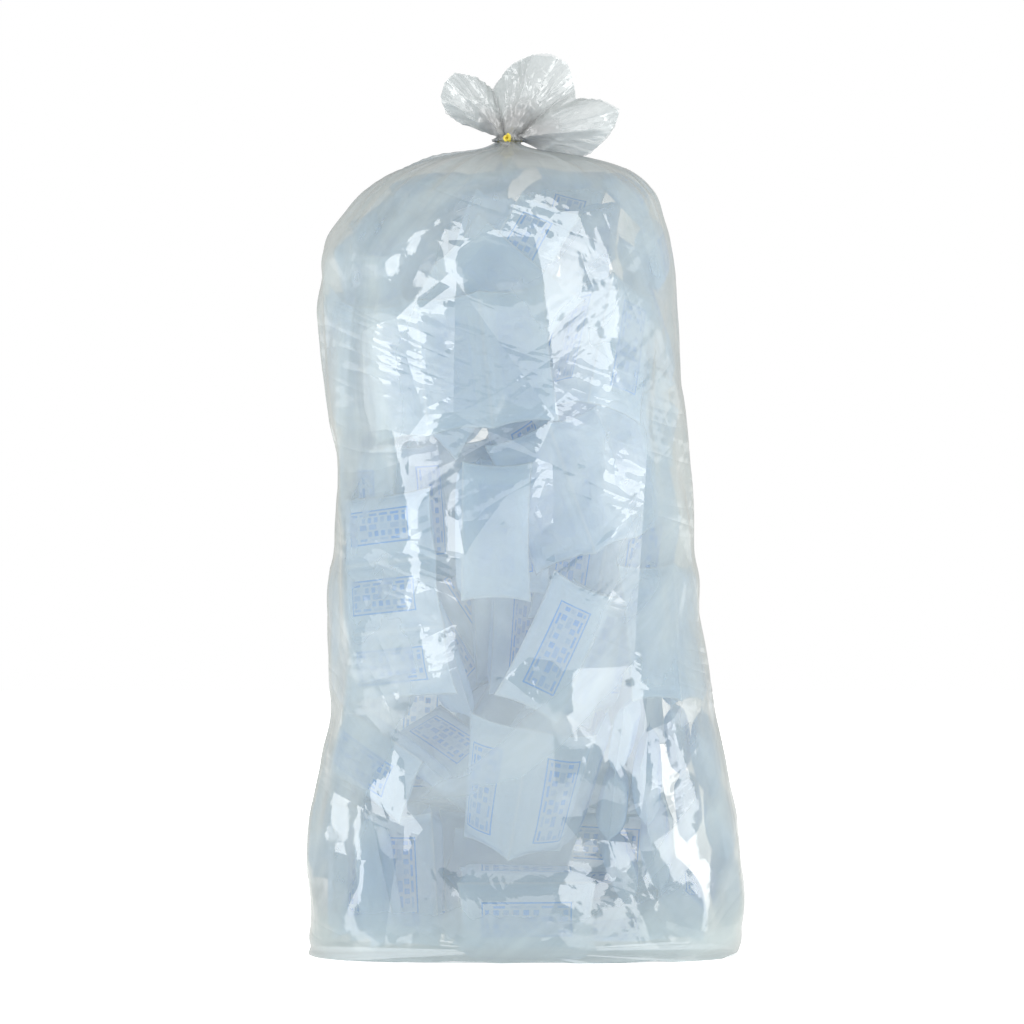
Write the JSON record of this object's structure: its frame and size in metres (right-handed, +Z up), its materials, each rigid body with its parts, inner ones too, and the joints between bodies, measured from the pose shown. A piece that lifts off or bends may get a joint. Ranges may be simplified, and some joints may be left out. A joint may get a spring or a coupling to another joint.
{
  "type": "bag of air pillows",
  "caption": "Tall clear film bag tied at the neck, full of pale blue printed air pillows, standing on its flat bottom with a loose ruffle above the tie.",
  "frame": {"origin": "centre of the flat bottom that the bag stands on", "axes": "+Z up along the bag to its tied neck, +X to the right and -Y towards the viewer who faces the tie"},
  "size_m": [0.592, 0.528, 1.2226],
  "materials": {
    "clear_film": "clear glossy polyethylene film",
    "pillow_film": "translucent pale blue film with a blue printed panel",
    "tie_coating": "satin yellow coating over wire"
  },
  "bodies": {
    "root": {"bag": "clear_film", "tie": "tie_coating", "pillow_strip_01": "pillow_film", "pillow_strip_02": "pillow_film", "pillow_strip_03": "pillow_film", "pillow_strip_04": "pillow_film", "pillow_strip_05": "pillow_film", "pillow_strip_06": "pillow_film", "pillow_strip_07": "pillow_film", "pillow_strip_08": "pillow_film", "pillow_strip_09": "pillow_film", "pillow_strip_10": "pillow_film", "pillow_strip_11": "pillow_film", "pillow_strip_12": "pillow_film", "pillow_strip_13": "pillow_film", "pillow_strip_14": "pillow_film", "pillow_strip_15": "pillow_film", "pillow_strip_16": "pillow_film", "pillow_strip_17": "pillow_film", "pillow_strip_18": "pillow_film", "pillow_strip_19": "pillow_film", "pillow_strip_20": "pillow_film", "pillow_strip_21": "pillow_film", "pillow_strip_22": "pillow_film", "pillow_strip_23": "pillow_film", "pillow_strip_24": "pillow_film", "pillow_strip_25": "pillow_film", "pillow_strip_26": "pillow_film", "pillow_strip_27": "pillow_film", "pillow_strip_28": "pillow_film", "pillow_strip_29": "pillow_film", "pillow_strip_30": "pillow_film", "pillow_strip_31": "pillow_film", "pillow_strip_32": "pillow_film", "pillow_strip_33": "pillow_film", "pillow_strip_34": "pillow_film", "pillow_strip_35": "pillow_film", "pillow_strip_36": "pillow_film", "pillow_strip_37": "pillow_film", "pillow_strip_38": "pillow_film", "pillow_strip_39": "pillow_film", "pillow_strip_40": "pillow_film", "pillow_strip_41": "pillow_film", "pillow_strip_42": "pillow_film", "pillow_strip_43": "pillow_film", "pillow_strip_44": "pillow_film", "pillow_strip_45": "pillow_film", "pillow_strip_46": "pillow_film", "pillow_strip_47": "pillow_film", "pillow_strip_48": "pillow_film", "pillow_strip_49": "pillow_film", "pillow_strip_50": "pillow_film", "pillow_strip_51": "pillow_film", "pillow_strip_52": "pillow_film", "pillow_strip_53": "pillow_film", "pillow_strip_54": "pillow_film", "pillow_strip_55": "pillow_film", "pillow_strip_56": "pillow_film", "pillow_strip_57": "pillow_film", "pillow_strip_58": "pillow_film"}
  },
  "joints": []
}
